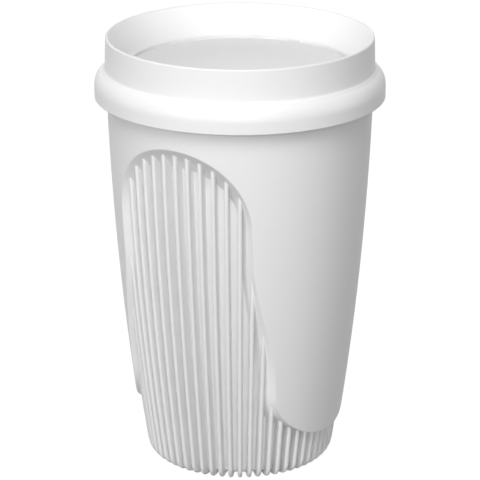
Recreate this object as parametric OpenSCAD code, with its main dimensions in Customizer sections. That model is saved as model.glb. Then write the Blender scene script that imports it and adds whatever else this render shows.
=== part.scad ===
// Travel mug with two finned grip recesses and a press-on sip lid.
// Millimetres, +Z up, the origin at the middle of the foot on the table.
// The sip side faces -Y, and a grip recess is centred on -Y and on +Y.

/* [Cup] */
// Height of the cup up to its rim, without the lid
cup_h = 125; // [110:1:160]
// Outer radius of the cup at its rim
rim_r = 41.4; // [36:0.1:50]
// Radius at which the wall line would meet the table
foot_r = 30.6; // [27:0.1:36]
// How far the wall line bows out from a straight taper
belly = 2.05; // [1:0.05:4]
// Wall of the outer cup
wall = 1.9; // [1.4:0.1:2.6]
// Height of the underside between the fins
base_lift = 1.8; // [1:0.1:3]
// Thickness of the outer cup's floor
base_t = 2; // [1.5:0.1:3]
// How far inside the recess floor's foot the flat standing ring lies
stand_in = 3.5; // [3:0.1:6]
// Width of that ring
stand_w = 2.4; // [1.5:0.1:4]

/* [Grip recess] */
// Depth of the recess floor below the smooth wall
recess_depth = 5; // [3.5:0.1:6]
// Half width of the arch, along the wall
arch_r = 24.7; // [18:0.1:27]
// Distance from the cup's rim down to the crown of the arch
crown_drop = 14.4; // [13.5:0.1:25]
// Distance that the arch's sides run straight down below its half circle
arch_leg = 9; // [4:0.5:14]
// Height of the lowest point of the smooth lobe between the recesses
lobe_z = 12.7; // [10:0.1:18]
// Height of the lobe's rounded end
lobe_end_h = 17.5; // [12:0.1:22]
// Half angle that the lobe spans where its rounded end starts
lobe_half = 41.4; // [34:0.1:46]
// How far the ledge falls for each millimetre of depth at the crown
crown_slope = 1.35; // [0.6:0.05:1.5]
// How far the ledge runs inward for each millimetre of depth at the arch's sides
side_slope = 0.6; // [0.2:0.05:1]
// The same at the lobe's rounded end
lobe_slope = 1; // [0.2:0.05:1.1]

/* [Fins] */
// Number of fins all round
fin_count = 60; // [44:4:64]
// Thickness of a fin, whose nose is a full round
fin_t = 1.4; // [1:0.1:1.7]
// Distance of the fin noses below the smooth wall
fin_drop = 1.3; // [0.8:0.1:2]
// Radius of a fin's lower corner, measured at its nose
fin_corner = 4.3; // [3:0.1:5]

/* [Liner] */
// Wall of the liner
liner_wall = 1.5; // [1.2:0.1:2.2]
// Air gap between the outer cup and the liner
air_gap = 1.4; // [0.8:0.1:2]
// Thickness of the liner's rim, which lies on the outer cup's edge
liner_rim_t = 1.5; // [1.2:0.1:2]
// Room between the lid's plug and the slope below the liner's wide mouth
mouth_room = 3.9; // [3:0.1:5]
// Radius of the liner's inner bottom corner
liner_corner = 6; // [3:0.5:9]

/* [Lid] */
// Height of the lid above the cup's rim
lid_h = 12; // [10:0.1:18]
// How far the drinking lip stands out over the cup's rim
lip_out = 0.05; // [-0.5:0.05:0.5]
// Thickness of the drinking lip
lip_t = 1.7; // [1.4:0.1:2.2]
// Wall of the lid
lid_wall = 1.8; // [1.4:0.1:2.2]
// Height of the dish's floor above the cup's rim
dish_lift = 2.1; // [1.8:0.1:4]
// How far the dish's floor ends inside the plug's outer face
dish_in = 2.2; // [1.8:0.1:4]
// Sag of the dish's floor at its middle
dish_sag = 0.9; // [0:0.1:1]
// Height of the collar's foot above the cup's rim
collar_lift = 2; // [1:0.1:4]
// How far the skirt stands out from the collar
skirt_out = 3.35; // [3:0.05:5]
// Height of the rounded shoulder
shoulder_h = 5.4; // [3:0.1:6]
// Height of the skirt's straight face
skirt_h = 3.4; // [2.5:0.1:6]
// Depth of the plug below the cup's rim
plug_h = 9.5; // [8:0.1:10.5]

/* [Drip groove and openings] */
// Width of the drip groove round the dish's floor
groove_w = 1.3; // [0.8:0.1:1.6]
// Depth of the drip groove
groove_d = 1.5; // [0.6:0.1:1.6]
// Angle on each side of the sip side that has no groove
groove_gap = 80; // [60:1:100]
// Width of the bridge across the groove opposite the sip side
bridge_w = 4.4; // [3:0.1:8]
// Width of the sip slot
sip_w = 15; // [10:0.5:20]
// Depth of the sip slot, from front to back
sip_d = 4; // [3:0.1:6]
// Radius of the vent hole
vent_r = 1; // [0.75:0.05:1.5]
// Distance from the sip slot's middle back to the vent
vent_back = 10; // [6:0.5:60]

/* [Lid seal] */
// Height of the sealing ring
seal_h = 3.6; // [2.4:0.1:4.5]
// How far the ring stands out of its groove
seal_out = 0.8; // [0.5:0.1:1.2]
// Depth of the groove that holds the ring
seal_groove_d = 0.7; // [0.5:0.1:0.9]
// Clearance between the ring's crest and the liner
seal_gap = 0.3; // [0.1:0.05:0.5]

/* [Hidden] */
$fn = 96;

// Overlap that carries a cut past the face that it opens
over = 1;
// Step that keeps two surfaces from lying in one another
hair = 0.02;
// Pieces of the wall's arc in a turned outline
wall_steps = 12;

// The wall line is one large arc through the foot and the rim
run_x = rim_r - foot_r;
chord = sqrt(run_x * run_x + cup_h * cup_h);
arc_r = (chord * chord / 4 + belly * belly) / (2 * belly);
arc_x = (foot_r + rim_r) / 2 - (arc_r - belly) * cup_h / chord;
arc_z = cup_h / 2 + (arc_r - belly) * run_x / chord;

// Radius of the wall line at a height, moved inward by inset
function wall_r(z, inset = 0) = arc_x + sqrt(pow(arc_r - inset, 2) - pow(z - arc_z, 2));
// Angle on the wall's arc at a height
function arc_angle(z, inset = 0) = asin((z - arc_z) / (arc_r - inset));
// Points up the wall line from one height to another
function wall_points(z0, z1, inset = 0, n = wall_steps) =
    [for (i = [0:n]) let (z = z0 + (z1 - z0) * i / n) [wall_r(z, inset), z]];
function reversed(list) = [for (i = [len(list) - 1:-1:0]) list[i]];
// Points of a round corner from one angle to another, its radius a number,
// or a pair where the corner is taller than it is wide
function corner(centre, r, a0, a1, n = 8) = let (rx = is_list(r) ? r[0] : r, rz = is_list(r) ? r[1] : r)
    [for (i = [0:n]) let (a = a0 + (a1 - a0) * i / n) centre + [rx * cos(a), rz * sin(a)]];

crown_z = cup_h - crown_drop;
spring_z = crown_z - arch_r;
leg_z = spring_z - arch_leg;
lobe_end_z = lobe_z + lobe_end_h;
outer_top = cup_h - liner_rim_t;
core_inset = recess_depth + wall;
mouth_z = cup_h - plug_h - mouth_room;
// Height of the slope that widens the liner into its mouth, and how much
// higher that slope is on the inside
mouth_step = 0.84 * recess_depth;
mouth_rise = 0.9 * liner_wall;

// Outline of one recess, from its crown down one side to the middle of
// the lobe's end: [angle from the crown, height, ledge run, ledge fall]
arch_turn = [for (i = [0:9]) let (a = i * 10, w = arch_r * sin(a), z = spring_z + arch_r * cos(a))
    [arc_deg(w, z), z, side_slope * sin(a), crown_slope * cos(a)]];
function arc_deg(w, z) = w / wall_r(z) * 180 / PI;
leg_angle = arc_deg(arch_r, leg_z);
arch_side = [for (i = [0:10]) let (t = i / 10, s = t * t * (3 - 2 * t))
    [
        leg_angle + (90 - lobe_half - leg_angle) * s,
        leg_z + (lobe_end_z - leg_z) * t,
        side_slope + (lobe_slope - side_slope) * t,
        0
    ]];
lobe_turn = [for (i = [1:9]) let (a = i * 10)
    [90 - lobe_half * cos(a), lobe_end_z - lobe_end_h * sin(a), lobe_slope * cos(a), 0]];
lobe_tail = [for (p = [[92, lobe_z - 0.3], [92, 0], [60, 0], [30, 0], [0, 0]]) [p[0], p[1], 0, 0]];
half_outline = concat(arch_turn, arch_side, lobe_turn, lobe_tail);
recess_outline = concat(
    half_outline,
    [for (p = reversed(half_outline)) if (p[0] > 0) [-p[0], p[1], -p[2], p[3]]]
);

// Height of the arch and lobe at an angle from the crown
function outline_z(a) = lookup(a, [for (p = concat(arch_turn, arch_side, lobe_turn)) [p[0], p[1]]]);

// A point of the outline, carried outward from the wall line by d along the ledge
function ledge_point(p, d) = let (
        z = p[1] + p[3] * d,
        r = wall_r(max(z, 0)) + d,
        a = p[0] + p[2] * d / r * 180 / PI
    ) [r * sin(a), -r * cos(a), z];

// Solid that cuts one recess: a ring of ledge faces, closed by a point
// outside the cup and a point inside it
module recess_cutter() {
    n = len(recess_outline);
    d_out = 6;
    d_in = -(recess_depth + wall / 2);
    apex_z = (crown_z + lobe_z) / 2;
    points = concat(
        [for (p = recess_outline) ledge_point(p, d_out)],
        [for (p = recess_outline) ledge_point(p, d_in)],
        [[0, -2.5 * rim_r, apex_z], [0, -rim_r / 4, apex_z]]
    );
    faces = [for (i = [0:n - 1]) let (j = (i + 1) % n) each [
        [j, i, n + j],
        [i, n + i, n + j],
        [2 * n, i, j],
        [2 * n + 1, n + j, n + i]
    ]];
    polyhedron(points, faces, convexity = 6);
}

// Smooth wall above and between the recesses, cut in two equal halves
// that meet along the middle of each lobe
module smooth_half() {
    difference() {
        rotate_extrude(angle = 180, start = 180) polygon(concat(
            [[0, lobe_z / 2]],
            wall_points(lobe_z / 2, outer_top),
            [[0, outer_top]]
        ));
        recess_cutter();
    }
}

module smooth_wall() {
    for (a = [0, 180]) rotate([0, 0, a]) smooth_half();
}

// Body behind the fins, which is also the recess floor
core_r = wall_r(base_lift, recess_depth);
stand_r = core_r - stand_in;
module core() {
    rotate_extrude() polygon(concat(
        [[0, 0], [stand_r, 0], [stand_r, base_lift]],
        corner([core_r - 0.5, base_lift + 0.5], 0.5, -90, 0, 3),
        wall_points(base_lift + 1, crown_z, recess_depth),
        [[0, crown_z]]
    ));
}

// Section of a fin of thickness t whose nose is at radius r, in to radius r_in
module fin_section(r, r_in, t) {
    nose = t / 2;
    translate([r_in, -nose]) square([r - nose - r_in, t]);
    intersection() {
        translate([r - nose, 0]) circle(r = nose, $fn = 24);
        translate([r - nose, -t]) square(2 * t);
    }
}

// One fin, standing in the X-Z plane: up the wall's arc, round its lower
// corner, and in under the cup to the standing ring. The corner is a hair
// thicker, so that the other two lengths end inside it.
module fin(top_z) {
    nose_r = arc_r - fin_drop;
    corner_x = arc_x + sqrt(pow(nose_r - fin_corner, 2) - pow(fin_corner - arc_z, 2));
    tangent = atan2(fin_corner - arc_z, corner_x - arc_x);
    top = arc_angle(top_z, fin_drop);
    lap = 0.3;
    start = tangent - lap / arc_r * 180 / PI;
    translate([arc_x, 0, arc_z]) rotate([90, 0, 0])
        rotate_extrude(angle = top - start, start = start, $fn = 720)
            fin_section(nose_r - hair, arc_r - recess_depth - wall / 2, fin_t);
    translate([corner_x, 0, fin_corner]) rotate([90, 0, 0])
        rotate_extrude(angle = tangent + 90, start = -90, $fn = 48)
            fin_section(fin_corner, 0, fin_t + 2 * hair);
    run_x0 = stand_r - stand_w / 2;
    translate([run_x0, 0, fin_corner]) rotate([0, 90, 0])
        linear_extrude(corner_x + lap - run_x0)
            fin_section(fin_corner - hair, 0, fin_t);
}

module fins() {
    for (i = [0:fin_count - 1]) {
        a = i * 360 / fin_count;
        from_crown = min(a % 180, 180 - a % 180);
        rotate([0, 0, a - 90]) fin(min(outline_z(from_crown) + 3, crown_z));
    }
}

// Space inside the outer cup, which opens out into the wide mouth
module jacket_space() {
    floor_z = base_lift + base_t;
    rotate_extrude() polygon(concat(
        [[0, floor_z]],
        wall_points(floor_z, mouth_z - mouth_step / 2, core_inset),
        wall_points(mouth_z + mouth_step / 2 - 0.3, outer_top + over, wall, 4),
        [[0, outer_top + over]]
    ));
}

// Shallow hollow inside the standing ring
module base_hollow() {
    r = stand_r - stand_w;
    translate([0, 0, -over]) cylinder(r = r, h = base_lift + over);
}

module outer_cup() {
    color("white") difference() {
        union() {
            smooth_wall();
            core();
            fins();
        }
        jacket_space();
        base_hollow();
    }
}

// Liner that holds the drink: its wall follows the outer cup inside the
// air gap, and steps out at the mouth to lie on the outer cup's edge
liner_inset = core_inset + air_gap;
liner_floor = base_lift + base_t + air_gap + liner_wall;
mouth_inset = wall + 0.3;
liner_in = liner_inset + liner_wall;
mouth_in = mouth_inset + liner_wall;
module inner_cup() {
    foot_z = liner_floor - liner_wall;
    out_corner = liner_corner + liner_wall;
    out_z = foot_z + out_corner;
    in_z = liner_floor + liner_corner;
    color("white") rotate_extrude() polygon(concat(
        [[0, foot_z]],
        corner([wall_r(out_z, liner_inset) - out_corner, out_z], out_corner, -90, -6),
        wall_points(out_z, mouth_z - mouth_step / 2, liner_inset),
        wall_points(mouth_z + mouth_step / 2, outer_top, mouth_inset, 4),
        [[rim_r, outer_top]],
        corner([rim_r - 0.5, cup_h - 0.5], 0.5, 0, 90, 4),
        corner([wall_r(cup_h, mouth_in) + 0.6, cup_h - 0.6], 0.6, 90, 180, 4),
        reversed(wall_points(mouth_z + mouth_step / 2 + mouth_rise, cup_h - 1, mouth_in, 4)),
        reversed(wall_points(in_z, mouth_z - mouth_step / 2 + mouth_rise, liner_in)),
        reversed(corner([wall_r(in_z, liner_in) - liner_corner, in_z], liner_corner, -90, -6)),
        [[0, liner_floor]]
    ));
}

// The lid is turned as one outline, and then cut for the groove, sip slot
// and vent. Its heights are measured from the lip.
lip_z = cup_h + lid_h;
lip_r = rim_r + lip_out;
dish_z = cup_h + dish_lift;
collar_z = cup_h + collar_lift;
skirt_z = collar_z - shoulder_h;
skirt_bottom = skirt_z - skirt_h;
collar_r = lip_r + 0.25;
skirt_r = collar_r + skirt_out;
mouth_r = wall_r(mouth_z + 1, mouth_in);
plug_r = mouth_r - seal_gap - seal_out;
dish_r = plug_r - dish_in;
seal_z = cup_h - plug_h + 2;

// Height of the dish's floor at a radius
function dish_floor(r) = dish_z - dish_sag * (1 - pow(r / dish_r, 2));

module lid_outline() {
    lip_in = lip_r - lip_t;
    lip_round = lip_t / 2;
    dish_turn = 2;
    hollow_r = dish_r + groove_w + 0.8 * lid_wall;
    rest_r = collar_r - lid_wall;
    skirt_in = skirt_r - lid_wall;
    ease = 0.3;
    polygon(concat(
        // Dish, from the middle of its floor out, and up its wall to the lip
        [for (i = [0:6]) let (r = dish_r * i / 6) [r, dish_floor(r)]],
        corner([dish_r + ease, dish_z + dish_turn], dish_turn, -75, -32, 4),
        [[lip_in - 0.5, lip_z - 2.4]],
        // Rounded lip
        corner([lip_in + lip_round, lip_z - lip_round], lip_round, 165, 5),
        // Collar, shoulder and skirt
        [[collar_r, collar_z + ease], [collar_r + 0.5 * ease, collar_z - 0.5 * ease]],
        corner([collar_r + 0.5 * ease, skirt_z], [skirt_out - 0.5 * ease, shoulder_h - 2 * ease], 78, 0, 9),
        [[skirt_r, skirt_bottom + ease], [skirt_r - ease, skirt_bottom]],
        [[skirt_in, skirt_bottom], [skirt_in, skirt_z]],
        // Seat on the cup's rim, and the hollow collar above it
        corner([skirt_in - 1.8, skirt_z], [1.8, shoulder_h - 2.4], 10, 80, 4),
        [[collar_r - 0.1, cup_h], [rest_r, cup_h]],
        [[rest_r - ease, cup_h + lid_h / 2], [hollow_r + 2 * ease, dish_z], [hollow_r, cup_h + 2 * ease]],
        // Plug
        [[plug_r, cup_h - ease], [plug_r, cup_h - plug_h + 0.8], [plug_r - 0.5, cup_h - plug_h]],
        [[plug_r - lid_wall, cup_h - plug_h], [plug_r - lid_wall, dish_floor(plug_r) - 1.5 * lid_wall]],
        // Underside of the dish
        [for (i = [4:-1:0]) let (r = (plug_r - 1.5 * lid_wall) * i / 4) [r, dish_floor(r) - lid_wall]]
    ));
}

module drip_groove() {
    span = 360 - 2 * groove_gap;
    bridge = bridge_w / dish_r * 180 / PI;
    for (side = [0, 1]) mirror([side, 0, 0])
        translate([0, 0, dish_z - groove_d])
            rotate_extrude(angle = span / 2 - bridge / 2, start = groove_gap - 90)
                translate([dish_r, 0]) square([groove_w, groove_d + lid_wall]);
}

// Sip slot near the dish's edge, and the vent hole behind it
module openings() {
    end_x = (sip_w - sip_d) / 2;
    y = -(dish_r - sip_d / 2 - 1.5);
    z = dish_z - lid_wall - dish_sag - over;
    h = lid_wall + dish_sag + 2 * over;
    for (x = [-end_x, end_x]) translate([x, y, z]) cylinder(d = sip_d, h = h);
    translate([-end_x, y - sip_d / 2, z]) cube([2 * end_x, sip_d, h]);
    translate([0, y + vent_back, z]) cylinder(r = vent_r, h = h);
}

module lid() {
    color("white") difference() {
        rotate_extrude() lid_outline();
        drip_groove();
        openings();
        // Groove in the plug for the sealing ring
        translate([0, 0, seal_z]) difference() {
            cylinder(r = plug_r + over, h = seal_h);
            cylinder(r = plug_r - seal_groove_d, h = seal_h);
        }
    }
}

// Soft ring held in the plug's groove, with a rounded crest
module lid_seal() {
    r_in = plug_r - seal_groove_d + 0.05;
    color("whitesmoke") rotate_extrude() translate([0, seal_z]) polygon([
        [r_in, 0],
        [plug_r, 0],
        [plug_r + seal_out * 0.6, seal_h * 0.18],
        [plug_r + seal_out * 0.92, seal_h * 0.36],
        [plug_r + seal_out, seal_h * 0.5],
        [plug_r + seal_out * 0.92, seal_h * 0.64],
        [plug_r + seal_out * 0.6, seal_h * 0.82],
        [plug_r, seal_h],
        [r_in, seal_h]
    ]);
}

outer_cup();
inner_cup();
lid();
lid_seal();
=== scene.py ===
import math

import bpy
import numpy as np
from mathutils import Euler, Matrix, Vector


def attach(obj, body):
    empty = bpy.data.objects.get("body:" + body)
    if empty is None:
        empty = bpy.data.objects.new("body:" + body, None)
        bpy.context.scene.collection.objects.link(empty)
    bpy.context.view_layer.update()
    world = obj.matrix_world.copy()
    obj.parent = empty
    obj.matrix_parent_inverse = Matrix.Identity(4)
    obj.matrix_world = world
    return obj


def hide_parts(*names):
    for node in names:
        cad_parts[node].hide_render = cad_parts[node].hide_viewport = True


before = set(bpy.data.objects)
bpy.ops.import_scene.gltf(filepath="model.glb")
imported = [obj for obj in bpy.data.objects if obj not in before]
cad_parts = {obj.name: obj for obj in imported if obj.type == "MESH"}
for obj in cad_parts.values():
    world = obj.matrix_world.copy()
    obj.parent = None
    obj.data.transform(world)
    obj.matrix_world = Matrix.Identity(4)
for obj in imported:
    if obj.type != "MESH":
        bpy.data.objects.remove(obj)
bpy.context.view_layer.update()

# Outer cup: one white moulding of satin plastic. Its gently bowed wall has a round-arched
# grip recess front and back, with a sloping ledge round it, and thin fins stand up from the
# recess floor and all round the foot, where they turn in under the cup to its standing ring.
MM = 0.001
CUP_H = 125.0
RIM_R = 41.4
FOOT_R = 30.6
BELLY = 2.05
WALL = 1.9
BASE_LIFT = 1.8
BASE_T = 2.0
OUTER_TOP = 123.5
MOUTH_ROWS = (120.0, 116.0, 113.8)
JACKET_TOP = 109.5
FLOOR_ROWS = (20.0, 4.0)
CAP_R = 3.0
RECESS_DEPTH = 5.0
ARCH_R = 24.7
CROWN_Z = 110.6
ARCH_LEG = 9.0
LOBE_Z = 12.7
LOBE_END_H = 17.5
LOBE_HALF_DEGREES = 41.4
CROWN_SLOPE = 1.35
SIDE_SLOPE = 0.6
LOBE_SLOPE = 1.0
EDGE_EASE = 0.25
LEDGE_ROWS = (-RECESS_DEPTH - 0.4, -4.0, -3.0, -2.0, -1.0, -EDGE_EASE - 0.05)
FIN_COUNT = 60
FIN_HALF = 0.7
FIN_DROP = 1.3
FIN_CORNER = 4.3
FIN_FILLET = 0.25
FILLET_MIDDLE = 0.3 * FIN_FILLET
FIN_BEHIND = 0.6
FIN_MEAN_R = 33.0
FLOOR_EASE = 0.5
EASE_SHARE = 0.4

# The wall line is one large arc through the foot and the rim.
run_x = RIM_R - FOOT_R
chord = math.hypot(run_x, CUP_H)
ARC_R = (chord * chord / 4 + BELLY * BELLY) / (2 * BELLY)
ARC_X = (FOOT_R + RIM_R) / 2 - (ARC_R - BELLY) * CUP_H / chord
ARC_Z = CUP_H / 2 + (ARC_R - BELLY) * run_x / chord
CORE_R = ARC_X + math.sqrt((ARC_R - RECESS_DEPTH) ** 2 - (BASE_LIFT - ARC_Z) ** 2)
STAND_R = CORE_R - 3.5
STAND_W = 2.4
UNDER_ROWS = (STAND_R - 0.3, STAND_R + 1.0, STAND_R + 2.2)


def wall_r(z, inset=0.0):
    """Radius of the wall line at a height, moved inward by inset."""
    return ARC_X + np.sqrt((ARC_R - inset) ** 2 - (z - ARC_Z) ** 2)


def turned(angle, radius, z):
    """Points at an angle from the front, counter-clockwise from above."""
    angle, radius, z = np.broadcast_arrays(angle, radius, z)
    return np.stack([radius * np.sin(angle), -radius * np.cos(angle), z], -1)


def surface_normals(points):
    """Normals of a ring-shaped grid of rows and columns, the longer neighbour counting most."""
    across = np.roll(points, -1, 1) - np.roll(points, 1, 1)
    along = np.empty_like(points)
    along[1:-1] = points[2:] - points[:-2]
    along[0] = points[1] - points[0]
    along[-1] = points[-1] - points[-2]
    normals = np.cross(across, along)
    return normals / np.maximum(np.linalg.norm(normals, axis=-1, keepdims=True), 1e-12)


def moulding(name, skins, body, node, material):
    """One object of closed rings of quads. A skin is (points, normals or None, capped rows)."""
    verts, normals, faces, start = [], [], [], 0
    for points, given, caps in skins:
        rows, cols = points.shape[:2]
        made = surface_normals(points) if given is None else given
        grid = start + np.arange(rows * cols).reshape(rows, cols)
        right = np.roll(grid, -1, 1)
        quads = np.stack([grid[:-1], right[:-1], right[1:], grid[1:]], -1).reshape(-1, 4)
        faces += quads.tolist()
        for row in caps:
            ring = grid[row].tolist()
            faces.append(ring[::-1] if row == 0 else ring)
        verts.append(points.reshape(-1, 3))
        normals.append(made.reshape(-1, 3))
        start += rows * cols
    mesh = bpy.data.meshes.new(name)
    mesh.from_pydata((np.concatenate(verts) * MM).tolist(), [], faces)
    mesh.polygons.foreach_set("use_smooth", [True] * len(mesh.polygons))
    mesh.normals_split_custom_set_from_vertices(np.concatenate(normals).tolist())
    piece = bpy.data.objects.new(name, mesh)
    bpy.context.scene.collection.objects.link(piece)
    mesh.materials.append(material)
    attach(piece, body)
    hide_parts(node)
    return piece


def smooth_step(t):
    """From 0 to 1 with a level start and a level end."""
    return t * t * (3 - 2 * t)


def rounded(start, corner, end, t):
    """A point of the curve that rounds a corner, at t between 0 at its start and 1 at its end."""
    return (1 - t) ** 2 * start + 2 * t * (1 - t) * corner + t * t * end


def quarter_outline():
    """Half of one recess from its crown to the lobe's middle: angle, height, ledge run, ledge fall."""
    spring_z = CROWN_Z - ARCH_R
    leg_z = spring_z - ARCH_LEG
    lobe_end_z = LOBE_Z + LOBE_END_H
    turn = np.radians(np.linspace(0, 90, 46))
    z = spring_z + ARCH_R * np.cos(turn)
    arch = [ARCH_R * np.sin(turn) / wall_r(z), z, SIDE_SLOPE * np.sin(turn), CROWN_SLOPE * np.cos(turn)]
    z = np.linspace(spring_z, leg_z, 7)[1:-1]
    legs = [ARCH_R / wall_r(z), z, np.full_like(z, SIDE_SLOPE), 0 * z]
    t = np.linspace(0, 1, 36)
    leg_angle = ARCH_R / wall_r(leg_z)
    lobe_angle = math.radians(90 - LOBE_HALF_DEGREES)
    sides = [
        leg_angle + (lobe_angle - leg_angle) * smooth_step(t),
        leg_z + (lobe_end_z - leg_z) * t,
        SIDE_SLOPE + (LOBE_SLOPE - SIDE_SLOPE) * t,
        0 * t,
    ]
    turn = np.radians(np.linspace(0, 90, 37))[1:]
    lobe = [
        math.pi / 2 - math.radians(LOBE_HALF_DEGREES) * np.cos(turn),
        lobe_end_z - LOBE_END_H * np.sin(turn),
        LOBE_SLOPE * np.cos(turn),
        0 * turn,
    ]
    return np.concatenate([np.array(part) for part in (arch, legs, sides, lobe)], 1)


quarter = quarter_outline()
half_turn = [[math.pi], [0], [0], [0]]
mirrored = quarter[:, -2:0:-1] * [[-1], [1], [-1], [1]] + half_turn
half = np.concatenate([quarter, mirrored], 1)
outline = np.concatenate([half, half + half_turn], 1)
edge_turn, edge_z, ledge_run, ledge_fall = outline


def outline_z(angle):
    """Height of the arch and lobe at an angle from the front."""
    folded = np.abs((angle + math.pi / 2) % math.pi - math.pi / 2)
    return np.interp(folded, quarter[0], quarter[1])


def ledge(out):
    """A row of the sloping ledge, out from the wall line, so negative inside it."""
    z = edge_z + ledge_fall * out
    r = wall_r(z) + out
    return turned(edge_turn + ledge_run * out / r, r, z)


def smooth_wall_skin():
    """Ledge, eased edge, smooth wall, rim, and the jacket down to the cup's own floor."""
    step = np.roll(outline, -1, 1) - np.roll(outline, 1, 1)
    along_turn = ((step[0] + math.pi) % math.tau - math.pi) * wall_r(edge_z)
    length = np.hypot(along_turn, step[1])
    away_turn, away_z = -step[1] / length, along_turn / length
    eased_turn = edge_turn + away_turn * EDGE_EASE / wall_r(edge_z)
    eased_z = edge_z + away_z * EDGE_EASE
    inner, corner, outer = ledge(-EDGE_EASE), ledge(0), turned(eased_turn, wall_r(eased_z), eased_z)
    rows = [ledge(out) for out in LEDGE_ROWS]
    rows += [rounded(inner, corner, outer, t) for t in (0, 0.25, 0.5, 0.75)]
    edge_rows = len(rows)
    wall_normals = []
    for t in np.linspace(0, 1, 20):
        z = eased_z + (OUTER_TOP - 0.3 - eased_z) * t
        rows.append(turned(eased_turn, wall_r(z), z))
        lean = np.arcsin((z - ARC_Z) / ARC_R)
        wall_normals.append(turned(eased_turn, np.cos(lean), np.sin(lean)))
    # The rim is eased by 0.3 mm at its outer edge and 0.2 mm at its inner edge
    rim_out, rim_in = wall_r(OUTER_TOP), wall_r(OUTER_TOP, WALL)
    floor_z = BASE_LIFT + BASE_T
    inside = [(rim_out - 0.1, OUTER_TOP - 0.08), (rim_out - 0.3, OUTER_TOP)]
    inside += [(rim_in + 0.2, OUTER_TOP), (rim_in, OUTER_TOP - 0.2)]
    inside += [(wall_r(z, WALL), z) for z in MOUTH_ROWS]
    inside += [(wall_r(z, RECESS_DEPTH + WALL), z) for z in np.linspace(JACKET_TOP, floor_z + 0.2, 14)]
    inside += [(r, floor_z) for r in FLOOR_ROWS]
    rows += [turned(eased_turn, r, z) for r, z in inside]
    points = np.array(rows)
    normals = surface_normals(points)
    normals[edge_rows : edge_rows + len(wall_normals)] = wall_normals
    return points, normals, [len(points) - 1]


def on_arc(lean, inset):
    """Radius and height on the wall line, moved inward by inset, where it leans by an angle."""
    return ARC_X + (ARC_R - inset) * math.cos(lean), ARC_Z + (ARC_R - inset) * math.sin(lean)


def fin_rows():
    """The path that a fin's section follows: base point, nose point and nose direction, in the
    fin's own plane, from under the cup, round the lower corner, to where the wall starts."""
    corner_arc = ARC_R - FIN_DROP - FIN_CORNER
    corner_x = ARC_X + math.sqrt(corner_arc**2 - (FIN_CORNER - ARC_Z) ** 2)
    tangent = math.atan2(FIN_CORNER - ARC_Z, corner_x - ARC_X)
    path = [((x, BASE_LIFT), (x, 0.0), -math.pi / 2) for x in UNDER_ROWS]
    start = np.array(on_arc(tangent, RECESS_DEPTH))
    lower = np.array([float(wall_r(BASE_LIFT + FLOOR_EASE, RECESS_DEPTH)), BASE_LIFT + FLOOR_EASE])
    for q in np.linspace(0, 1, 12)[:-1]:
        angle = -math.pi / 2 + (tangent + math.pi / 2) * q
        nose = (corner_x + FIN_CORNER * math.cos(angle), FIN_CORNER + FIN_CORNER * math.sin(angle))
        if q < EASE_SHARE:
            back = math.pi / 2 * (q / EASE_SHARE - 1)
            base = lower + FLOOR_EASE * np.array([math.cos(back) - 1, math.sin(back)])
        else:
            base = lower + (start - lower) * (q - EASE_SHARE) / (1 - EASE_SHARE)
        path.append((tuple(base), nose, angle))
    return path, tangent


def fin_skin():
    """Fins, and the recess floor between them, as one skin that ends behind the ledge."""
    path, tangent = fin_rows()
    fin_step = math.tau / FIN_COUNT
    nose = np.radians(np.linspace(-90, 90, 9))
    # Columns of one fin: where each lies across the fin, how high it stands on the recess floor
    # (None on the nose), and how far the round nose bulges there
    side = [-FIN_HALF - FIN_FILLET, -FIN_HALF - FILLET_MIDDLE, -FIN_HALF]
    across = side + list(FIN_HALF * np.sin(nose)) + [-x for x in side[::-1]]
    climb = [0, FILLET_MIDDLE, FIN_FILLET]
    lift = climb + [None] * len(nose) + climb[::-1]
    bulge = [0] * 3 + list(FIN_HALF * np.cos(nose)) + [0] * 3
    wall_steps = np.linspace(0, 1, 26) ** 0.9
    columns = []
    for k in range(FIN_COUNT):
        fin_angle = k * fin_step
        spread = fin_angle + np.array(across) / FIN_MEAN_R
        top = min(float(outline_z(spread).max()), CROWN_Z) + FIN_BEHIND
        top_lean = math.asin((top - ARC_Z) / ARC_R)
        leans = tangent + (top_lean - tangent) * wall_steps
        rows = path + [(on_arc(a, RECESS_DEPTH), on_arc(a, FIN_DROP), a) for a in leans]
        base = np.array([row[0] for row in rows])
        tip = np.array([row[1] for row in rows])
        out = np.array([[math.cos(row[2]), math.sin(row[2])] for row in rows])
        for y, up, round_out in zip(across, lift, bulge):
            if up is None:
                at = tip + (round_out - FIN_HALF) * out
            else:
                at = base + up * out
                at[:, 0] = np.sqrt(at[:, 0] ** 2 - y * y)
            columns.append(turned(fin_angle + np.arctan2(y, at[:, 0]), np.hypot(at[:, 0], y), at[:, 1]))
        columns.append(turned(fin_angle + fin_step / 2, base[:, 0], base[:, 1]))
    return np.array(columns).transpose(1, 0, 2), None, []


def lathe(profile, count=240, caps=()):
    """A turned ring: the profile has what is solid on its left."""
    angles = np.linspace(0, math.tau, count, endpoint=False)
    profile = np.array(profile, float)
    return turned(angles[None, :], profile[:, :1], profile[:, 1:]), None, list(caps)


def eased(points, radius, steps=4):
    """Rounds every corner of an open outline, apart from those that are nearly straight."""
    straight, most_of_side = -0.985, 0.45
    points = [np.array(p, float) for p in points]
    out = [points[0]]
    for before, here, after in zip(points, points[1:], points[2:]):
        back, on = before - here, after - here
        back_length, on_length = np.linalg.norm(back), np.linalg.norm(on)
        if np.dot(back, on) / (back_length * on_length) < straight:
            out.append(here)
            continue
        cut = min(radius, back_length * most_of_side, on_length * most_of_side)
        start, end = here + back / back_length * cut, here + on / on_length * cut
        out += [rounded(start, here, end, t) for t in np.linspace(0, 1, steps)]
    return out + [points[-1]]


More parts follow.
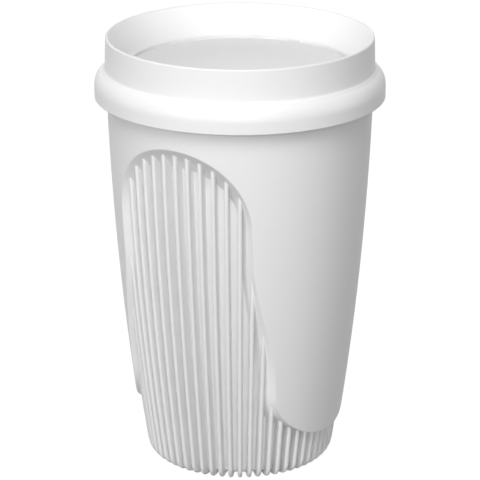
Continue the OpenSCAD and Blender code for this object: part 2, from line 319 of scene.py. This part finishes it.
class Sock:
    """A node's output that ordinary arithmetic can be done on."""

    def __init__(self, tree, socket):
        self.tree, self.socket = tree, socket

    def __add__(self, other):
        return add_node(self.tree, "ShaderNodeMath", {"operation": "ADD"}, self, other)

    def __mul__(self, other):
        return add_node(self.tree, "ShaderNodeMath", {"operation": "MULTIPLY"}, self, other)

    __radd__ = __add__
    __rmul__ = __mul__


def add_node(tree, kind, settings, *values, out=0, **named):
    """Adds a node, sets it, then fills its sockets in order or by name."""
    node = tree.nodes.new(kind)
    for name, value in settings.items():
        setattr(node, name, value)
    sockets = list(zip(node.inputs, values))
    sockets += [(node.inputs[name.replace("_", " ")], value) for name, value in named.items()]
    for socket, value in sockets:
        if isinstance(value, Sock):
            tree.links.new(value.socket, socket)
        elif value is not None:
            socket.default_value = value
    return Sock(tree, node.outputs[out]) if node.outputs else None


def blended(factor, first, second):
    """A colour that goes from the first to the second. The Mix node's two colours come after its
    factors, numbers and vectors."""
    passed_over = [None] * 5
    ends = [(*colour, 1) for colour in (first, second)]
    return add_node(factor.tree, "ShaderNodeMix", {"data_type": "RGBA"}, factor, *passed_over, *ends, out=2)


def new_material(name):
    """A material without nodes, and its tree."""
    material = bpy.data.materials.new(name)
    material.use_nodes = True
    material.node_tree.nodes.clear()
    return material, material.node_tree


WHITE = (0.88, 0.88, 0.88)
DULLEST = 0.955
FLOW_ROUGHENS = 0.08
MOTTLE_ROUGHENS = 0.05


def plastic(name, colour, roughness, grain, shine=0.5):
    """Moulded plastic: its tone and gloss drift a little with the flow, under the mould's grain."""
    material, tree = new_material(name)
    place = add_node(tree, "ShaderNodeTexCoord", {}, out="Object")
    flow = add_node(tree, "ShaderNodeTexNoise", {}, place, Scale=18.0, Detail=3.0, Distortion=0.4)
    mottle = add_node(tree, "ShaderNodeTexNoise", {}, place, Scale=260.0, Detail=2.0)
    fine = add_node(tree, "ShaderNodeTexNoise", {}, place, Scale=2400.0, Detail=2.0)
    dull = [c * DULLEST for c in colour]
    smoothest = roughness - (FLOW_ROUGHENS + MOTTLE_ROUGHENS) / 2
    surface = add_node(
        tree,
        "ShaderNodeBsdfPrincipled",
        {},
        Base_Color=blended(flow * 0.7 + mottle * 0.3, dull, colour),
        Roughness=flow * FLOW_ROUGHENS + mottle * MOTTLE_ROUGHENS + smoothest,
        Specular_IOR_Level=shine,
        Normal=add_node(tree, "ShaderNodeBump", {}, Strength=0.3, Distance=grain, Height=fine),
    )
    add_node(tree, "ShaderNodeOutputMaterial", {}, surface)
    return material


satin_white = plastic("satin_white", WHITE, 0.42, 0.00002, shine=0.35)
stand_in = STAND_R - STAND_W
stand = [(CAP_R, BASE_LIFT), (stand_in, BASE_LIFT), (stand_in, 0), (STAND_R, 0), (STAND_R, BASE_LIFT + 0.1)]
moulding(
    "outer_cup_moulding",
    [smooth_wall_skin(), fin_skin(), lathe(eased(stand, 0.2), 144, caps=[0])],
    "cup",
    "outer_cup",
    satin_white,
)

# Liner: a thin white cup of glossier plastic that holds the drink. It hangs inside the outer
# cup with an air gap all round, and its flat rim is welded down onto the outer cup's edge.
PLUG_H = 9.5
LINER_WALL = 1.5
AIR_GAP = 1.4
MOUTH_Z = CUP_H - PLUG_H - 3.9
MOUTH_STEP = 0.84 * RECESS_DEPTH
MOUTH_INSET = WALL + 0.3
LINER_INSET = RECESS_DEPTH + WALL + AIR_GAP
LINER_FOOT = BASE_LIFT + BASE_T + AIR_GAP
LINER_CORNER = 6.0
LINER_DRAFT = 8.0
RIM_ROUND = 0.5
MOUTH_ROUND = 0.6


def wall_run(start_z, end_z, inset, count=20):
    """Points along the wall line, moved inward by inset, from one height to another."""
    return [(float(wall_r(z, inset)), z) for z in np.linspace(start_z, end_z, count)]


def bend(x, z, radius, start, end, count=9):
    """Points round a corner, its radius a number or a pair (across, up)."""
    across, up = radius if isinstance(radius, tuple) else (radius, radius)
    turns = np.radians(np.linspace(start, end, count))
    return [(x + across * math.cos(a), z + up * math.sin(a)) for a in turns]


def liner_profile():
    """The liner's outline: up its outside, over the rim, and down its inside to the floor."""
    out_corner = LINER_CORNER + LINER_WALL
    corner_z = LINER_FOOT + out_corner
    inside = LINER_INSET + LINER_WALL
    mouth_inside = MOUTH_INSET + LINER_WALL
    step_low, step_high = MOUTH_Z - MOUTH_STEP / 2, MOUTH_Z + MOUTH_STEP / 2
    rise = 0.9 * LINER_WALL
    corner_out = float(wall_r(corner_z, LINER_INSET)) - out_corner
    corner_in = float(wall_r(corner_z, inside)) - LINER_CORNER
    rim_in = float(wall_r(CUP_H, mouth_inside))
    outer = bend(corner_out, corner_z, out_corner, -90, -LINER_DRAFT, 14)
    outer += wall_run(corner_z, step_low, LINER_INSET)[1:]
    rim_edge = [(RIM_R, OUTER_TOP), (RIM_R, CUP_H - RIM_ROUND)]
    outer += eased(wall_run(step_high, OUTER_TOP, MOUTH_INSET, 5) + rim_edge, 0.15)
    rim = bend(RIM_R - RIM_ROUND, CUP_H - RIM_ROUND, RIM_ROUND, 0, 90, 6)
    rim += bend(rim_in + MOUTH_ROUND, CUP_H - MOUTH_ROUND, MOUTH_ROUND, 90, 180, 6)
    inner = wall_run(CUP_H - LINER_WALL, step_high + rise, mouth_inside, 6)
    inner = eased(inner + wall_run(step_low + rise, corner_z, inside, 24), 0.5)
    inner += bend(corner_in, corner_z, LINER_CORNER, -LINER_DRAFT, -90, 14)[1:]
    return [(CAP_R, LINER_FOOT)] + outer + rim + inner + [(CAP_R, LINER_FOOT + LINER_WALL)]


gloss_white = plastic("gloss_white", WHITE, 0.28, 0.000008)
moulding("liner_cup", [lathe(liner_profile(), 240, caps=[0, -1])], "cup", "inner_cup", gloss_white)

# Lid: one white moulding. Its skirt snaps over the rim, a hollow collar rises to the drinking
# lip, and inside the lip a dish with a sip slot and a vent drains round a drip groove.
LIP_Z = CUP_H + 12
LIP_R = RIM_R + 0.05
LIP_ROUND = 0.5
LID_WALL = 1.8
LID_EASE = 0.3
SEAL_OUT = 0.8
SEAL_CLEAR = 0.3
PLUG_R = float(wall_r(MOUTH_Z + 1, MOUTH_INSET + LINER_WALL)) - SEAL_CLEAR - SEAL_OUT
DISH_R = PLUG_R - 2.2
DISH_Z = CUP_H + 2.1
DISH_SAG = 0.9
DISH_FOOT = 2.0
COLLAR_Z = CUP_H + 2
COLLAR_R = LIP_R + 0.25
HOLLOW_TOP = CUP_H + 6
SKIRT_OUT = 3.35
SHOULDER_H = 5.4
SKIRT_Z = COLLAR_Z - SHOULDER_H
SKIRT_BOTTOM = SKIRT_Z - 3.4
SEAL_Z = CUP_H - PLUG_H + 2
SEAL_H = 3.6
SEAL_GROOVE = 0.7
GROOVE_W = 1.3
GROOVE_D = 1.5
GROOVE_GAP_DEGREES = 80.0
GROOVE_FADE_DEGREES = 0.9
BRIDGE_W = 4.4
SIP_W = 15.0
SIP_D = 4.0
SIP_Y = -(DISH_R - SIP_D / 2 - 1.5)
VENT_R = 1.0
VENT_Y = SIP_Y + 10


def dish_floor(r):
    """Height of the dish's floor, which sags a little towards the middle."""
    return DISH_Z - DISH_SAG * (1 - (r / DISH_R) ** 2)


def lid_skin():
    """The turned lid, its drip groove left out across the front and at the narrow bridge."""
    skirt_r = COLLAR_R + SKIRT_OUT
    skirt_in = skirt_r - LID_WALL
    rest_r = COLLAR_R - LID_WALL
    hollow_r = DISH_R + GROOVE_W + 0.8 * LID_WALL
    plug_in, plug_low = PLUG_R - LID_WALL, CUP_H - PLUG_H
    seal_in, seal_top = PLUG_R - SEAL_GROOVE, SEAL_Z + SEAL_H
    # Under the dish, down and round the plug, up into the hollow collar, and inside the skirt
    under = [(r, dish_floor(r) - LID_WALL) for r in np.linspace(CAP_R, PLUG_R - 1.5 * LID_WALL, 6)]
    under += [(plug_in, dish_floor(PLUG_R) - 1.5 * LID_WALL), (plug_in, plug_low)]
    under += [(PLUG_R - 0.5, plug_low), (PLUG_R, plug_low + 0.8)]
    under += [(PLUG_R, SEAL_Z), (seal_in, SEAL_Z), (seal_in, seal_top), (PLUG_R, seal_top)]
    under += [(PLUG_R, CUP_H - LID_EASE), (hollow_r, CUP_H + 2 * LID_EASE)]
    under += [(hollow_r + 2 * LID_EASE, DISH_Z), (rest_r - LID_EASE, HOLLOW_TOP)]
    under += [(rest_r, CUP_H), (COLLAR_R - 0.1, CUP_H)]
    under += bend(skirt_in - 1.8, SKIRT_Z, (1.8, SHOULDER_H - 2.4), 80, 10, 6)
    under += [(skirt_in, SKIRT_Z), (skirt_in, SKIRT_BOTTOM)]
    outer = eased(under + [(skirt_r, SKIRT_BOTTOM), (skirt_r, SKIRT_Z - 0.2)], 0.2)
    # The shoulder, the small hollow where it meets the collar, the lip, and the dish's wall
    shoulder = (SKIRT_OUT - LID_EASE / 2, SHOULDER_H - 2 * LID_EASE)
    outer += bend(COLLAR_R + LID_EASE / 2, SKIRT_Z, shoulder, 0, 78, 22)
    outer += bend(COLLAR_R + 0.7, COLLAR_Z + 0.5, (0.7, 0.75), -110, -180, 7)
    outer += [(COLLAR_R - 0.08, COLLAR_Z + 4)]
    outer += bend(LIP_R - LIP_ROUND, LIP_Z - LIP_ROUND, LIP_ROUND, 2, 148, 13)
    foot_x, foot_z = DISH_R + LID_EASE, DISH_Z + DISH_FOOT
    outer += bend(foot_x, foot_z, DISH_FOOT, -32, -60, 5)
    # Rows of the groove, then the points that the same rows have where there is no groove
    edge = foot_z - math.sqrt(DISH_FOOT**2 - (GROOVE_W - LID_EASE) ** 2)
    end, bed = DISH_R + GROOVE_W, DISH_Z - GROOVE_D
    grooved = [(end + 0.05, edge + 0.03), (end, edge - 0.1), (end - 0.02, bed + 0.25), (end - 0.3, bed)]
    grooved += [(DISH_R + 0.3, bed), (DISH_R + 0.02, bed + 0.25)]
    grooved += [(DISH_R, DISH_Z - 0.2), (DISH_R - 0.06, DISH_Z - 0.05), (DISH_R - 0.2, DISH_Z)]
    level = bend(foot_x, foot_z, DISH_FOOT, -60.5, -88, 7)
    level += [(DISH_R - 0.05, DISH_Z), (DISH_R - 0.2, DISH_Z)]
    inner = [(r, dish_floor(r)) for r in np.linspace(DISH_R - 1.5, CAP_R, 14)]
    with_groove = np.array(outer + grooved + inner)
    without = np.array(outer + level + inner)
    half_bridge = math.degrees(BRIDGE_W / 2 / DISH_R)
    starts = [GROOVE_GAP_DEGREES, 180 + half_bridge]
    ends = [180 - half_bridge, 360 - GROOVE_GAP_DEGREES]
    fade = np.linspace(-GROOVE_FADE_DEGREES, GROOVE_FADE_DEGREES, 7)
    near = [middle + d for middle in starts + ends for d in fade]
    angles = np.unique(np.round(np.concatenate([np.arange(0, 360, 1.5), near]), 3))
    depth = -len(starts)
    for middles, sign in ((starts, 1), (ends, -1)):
        for middle in middles:
            depth = depth + np.clip((angles - middle) * sign / GROOVE_FADE_DEGREES + 0.5, 0, 1)
    depth = smooth_step(depth)
    profile = without[:, None] + (with_groove - without)[:, None] * depth[None, :, None]
    return turned(np.radians(angles)[None, :], profile[..., 0], profile[..., 1]), None, [0, -1]


def cutter(name, middle_y, half_w, half_d):
    """A closed plug of slot shape, flared where it leaves the plastic so the edges come out eased."""
    top, low = dish_floor(-middle_y) + 0.02, dish_floor(-middle_y) - LID_WALL
    # Each level of the flare: how far it lies past the surface, and how much wider it is there
    flare = [(1.5, 1.6), (0.0, 0.3), (-0.1, 0.13), (-0.35, 0.0)]
    levels = [(top + past, out) for past, out in flare]
    levels += [(low - past, out) for past, out in flare[::-1]]
    turns = np.linspace(0, math.tau, 48, endpoint=False)
    verts, faces = [], []
    for z, out in levels:
        for a in turns:
            x = math.copysign(half_w - half_d, math.cos(a)) + (half_d + out) * math.cos(a)
            verts.append((x * MM, (middle_y + (half_d + out) * math.sin(a)) * MM, z * MM))
    rings = np.arange(len(verts)).reshape(len(levels), len(turns))
    for here, below in zip(rings, rings[1:]):
        sides = np.stack([here, below, np.roll(below, -1), np.roll(here, -1)], -1)
        faces += sides.tolist()
    faces += [rings[0].tolist(), rings[-1][::-1].tolist()]
    mesh = bpy.data.meshes.new(name)
    mesh.from_pydata(verts, [], faces)
    piece = bpy.data.objects.new(name, mesh)
    bpy.context.scene.collection.objects.link(piece)
    return piece


def cut_through(piece, tools):
    """Cuts the openings, and keeps every untouched vertex's own normal. New vertices take their
    face's normal, or straight up or down where the face is nearly level."""
    kept, nearly_level = {}, 0.98
    mesh = piece.data
    for corner in mesh.loops:
        kept[mesh.vertices[corner.vertex_index].co.to_tuple(7)] = corner.normal.copy()
    for tool in tools:
        cut = piece.modifiers.new(tool.name, "BOOLEAN")
        cut.object, cut.operation, cut.solver = tool, "DIFFERENCE", "EXACT"
    solid = bpy.data.meshes.new_from_object(piece.evaluated_get(bpy.context.evaluated_depsgraph_get()))
    piece.modifiers.clear()
    solid.materials.clear()
    solid.materials.append(mesh.materials[0])
    piece.data = solid
    solid.name = piece.name
    solid.polygons.foreach_set("use_smooth", [True] * len(solid.polygons))
    normals = [None] * len(solid.loops)
    for face in solid.polygons:
        new = face.normal.copy()
        if abs(new.z) > nearly_level:
            new = Vector((0, 0, math.copysign(1, new.z)))
        for i in face.loop_indices:
            at = solid.vertices[solid.loops[i].vertex_index].co.to_tuple(7)
            normals[i] = kept.get(at, new)
    solid.normals_split_custom_set(normals)
    for tool in tools:
        bpy.data.objects.remove(tool)


lid_white = plastic("lid_white", WHITE, 0.36, 0.000014, shine=0.4)
lid = moulding("sip_lid", [lid_skin()], "lid", "lid", lid_white)
cut_through(
    lid,
    [cutter("sip_slot", SIP_Y, SIP_W / 2, SIP_D / 2), cutter("vent", VENT_Y, VENT_R, VENT_R)],
)

# Seal: a soft off-white silicone ring with a rounded crest, stretched into the groove of the
# lid's plug, where it closes the gap to the liner.
SEAL_PLAY = 0.05
SEAL_SIDE_PLAY = 0.02


def seal_profile():
    """The ring's outline: flat sides in the groove, and a rounded crest that stands out of it."""
    back, neck = PLUG_R - SEAL_GROOVE + SEAL_PLAY, PLUG_R - 0.1
    middle = SEAL_Z + SEAL_H / 2
    low, high = SEAL_Z + SEAL_SIDE_PLAY, SEAL_Z + SEAL_H - SEAL_SIDE_PLAY
    crest = bend(PLUG_R, middle, (SEAL_OUT, SEAL_H / 2 - SEAL_PLAY), -88, 88, 13)
    ring = [(back, middle), (back, low), (neck, low)] + crest
    return ring + [(neck, high), (back, high), (back, middle + SEAL_PLAY)]


silicone = plastic("silicone", (0.8, 0.79, 0.77), 0.6, 0.00001, shine=0.35)
moulding("seal_ring", [lathe(seal_profile(), 240)], "lid", "lid_seal", silicone)

# The camera stands nearly 0.8 m off and above the lid, on a long lens, with the drinking side
# of the mug turned thirty degrees to its left. Its sizes are in metres, its lens in millimetres.
CAMERA_TURN = math.radians(30)
CAMERA_AWAY = 0.7268
CAMERA_HEIGHT = 0.3246
CAMERA_DOWN = math.radians(19.3)
CAMERA_LENS = 182.6
CAMERA_SENSOR = 36

camera = bpy.data.objects.new("camera", bpy.data.cameras.new("camera"))
camera.data.lens = CAMERA_LENS
camera.data.sensor_width = CAMERA_SENSOR
camera.location = (
    CAMERA_AWAY * math.sin(CAMERA_TURN),
    -CAMERA_AWAY * math.cos(CAMERA_TURN),
    CAMERA_HEIGHT,
)
camera.rotation_euler = Euler((math.pi / 2 - CAMERA_DOWN, 0, CAMERA_TURN))
bpy.context.scene.collection.objects.link(camera)
bpy.context.scene.camera = camera
bpy.context.scene.view_settings.view_transform = "Standard"

# The sweep of pale paper under the mug. To the eye, and in reflections, it is white with the
# mug's soft shadow on it. The light that it sends back up at the mug is that of grey paper.
PAPER_LIT = 0.25
PAPER_GLOW = 0.9
PAPER_BACK = 0.08
TABLE_HALF = 6
SEEN_RAYS = ("Is Camera Ray", "Is Glossy Ray", "Is Transmission Ray")


def seen_directly(tree):
    """One for rays from the camera, a reflection or a clear body, and none for scattered light."""
    seen, glossy, clear = [add_node(tree, "ShaderNodeLightPath", {}, out=name) for name in SEEN_RAYS]
    return seen + glossy + clear


paper, tree = new_material("paper")
place = add_node(tree, "ShaderNodeTexCoord", {}, out="Object")
fibre = add_node(tree, "ShaderNodeTexNoise", {}, place, Scale=900.0, Detail=3.0)
tooth = add_node(tree, "ShaderNodeBump", {}, Strength=0.2, Distance=0.00004, Height=fibre)
shown = add_node(tree, "ShaderNodeBsdfDiffuse", {}, (PAPER_LIT, PAPER_LIT, PAPER_LIT, 1), Normal=tooth)
glow = add_node(tree, "ShaderNodeEmission", {}, (1, 1, 1, 1), PAPER_GLOW)
white = add_node(tree, "ShaderNodeAddShader", {}, shown, glow)
back = add_node(tree, "ShaderNodeBsdfDiffuse", {}, (PAPER_BACK, PAPER_BACK, PAPER_BACK, 1))
sheet = add_node(tree, "ShaderNodeMixShader", {}, seen_directly(tree), back, white)
add_node(tree, "ShaderNodeOutputMaterial", {}, sheet)

corners = [(x * TABLE_HALF, y * TABLE_HALF, 0) for x, y in ((-1, -1), (1, -1), (1, 1), (-1, 1))]
floor = bpy.data.meshes.new("floor")
floor.from_pydata(corners, [], [(0, 1, 2, 3)])
floor = bpy.data.objects.new("floor", floor)
bpy.context.scene.collection.objects.link(floor)
floor.data.materials.append(paper)

# The room: white where it is seen or reflected, and dark to scattered light, so that the
# lamps alone shape the mug.
world = bpy.data.worlds.new("studio")
bpy.context.scene.world = world
world.use_nodes = True
tree = world.node_tree
tree.nodes.clear()
sky = add_node(tree, "ShaderNodeBackground", {}, (1, 1, 1, 1), seen_directly(tree))
add_node(tree, "ShaderNodeOutputWorld", {}, sky)

# A soft box stands close in front, above the mug, so its light falls off towards the foot.
# Wide, distant lamps fill in all round: each has its height, its turn to the camera's right,
# its width as seen from the mug, its power, and whether it shows in the plastic's gloss.
LAMPS = {
    "top_left": (58, -30, 40, 0.15, True),
    "top_right": (58, 35, 40, 0.26, True),
    "front_fill": (12, 4, 36, 1.22, True),
    "front_left": (16, -40, 24, 0.92, True),
    "side_left": (8, -90, 36, 0.20, True),
    "side_right": (8, 90, 36, 0.52, True),
    "back_top": (45, 170, 40, 0.20, False),
    "back_fill": (12, 180, 36, 1.60, False),
    "back_left": (16, -135, 24, 0.40, False),
}
BOX_ABOVE = 46
BOX_ASIDE = -10
BOX_AWAY = 0.55
BOX_SIZE = 0.25
BOX_POWER = 1.3
MUG_TOP = Vector((0, 0, 0.1))


def lamp_direction(above, aside):
    """From the mug towards a lamp at a height and a turn to the camera's right."""
    across, up = CAMERA_TURN + math.radians(aside), math.radians(above)
    return Vector((math.sin(across) * math.cos(up), -math.cos(across) * math.cos(up), math.sin(up)))


def lamp(name, kind, above, aside, power):
    """A lamp that shines on the mug from a direction."""
    light = bpy.data.objects.new(name, bpy.data.lights.new(name, kind))
    light.data.energy = power
    light.rotation_euler = lamp_direction(above, aside).to_track_quat("Z", "Y").to_euler()
    bpy.context.scene.collection.objects.link(light)
    return light


for name, (above, aside, spread, power, glossy) in LAMPS.items():
    light = lamp(name, "SUN", above, aside, power)
    light.data.angle = math.radians(spread)
    light.visible_glossy = glossy
soft_box = lamp("soft_box", "AREA", BOX_ABOVE, BOX_ASIDE, BOX_POWER)
soft_box.data.size = BOX_SIZE
soft_box.location = MUG_TOP + BOX_AWAY * lamp_direction(BOX_ABOVE, BOX_ASIDE)
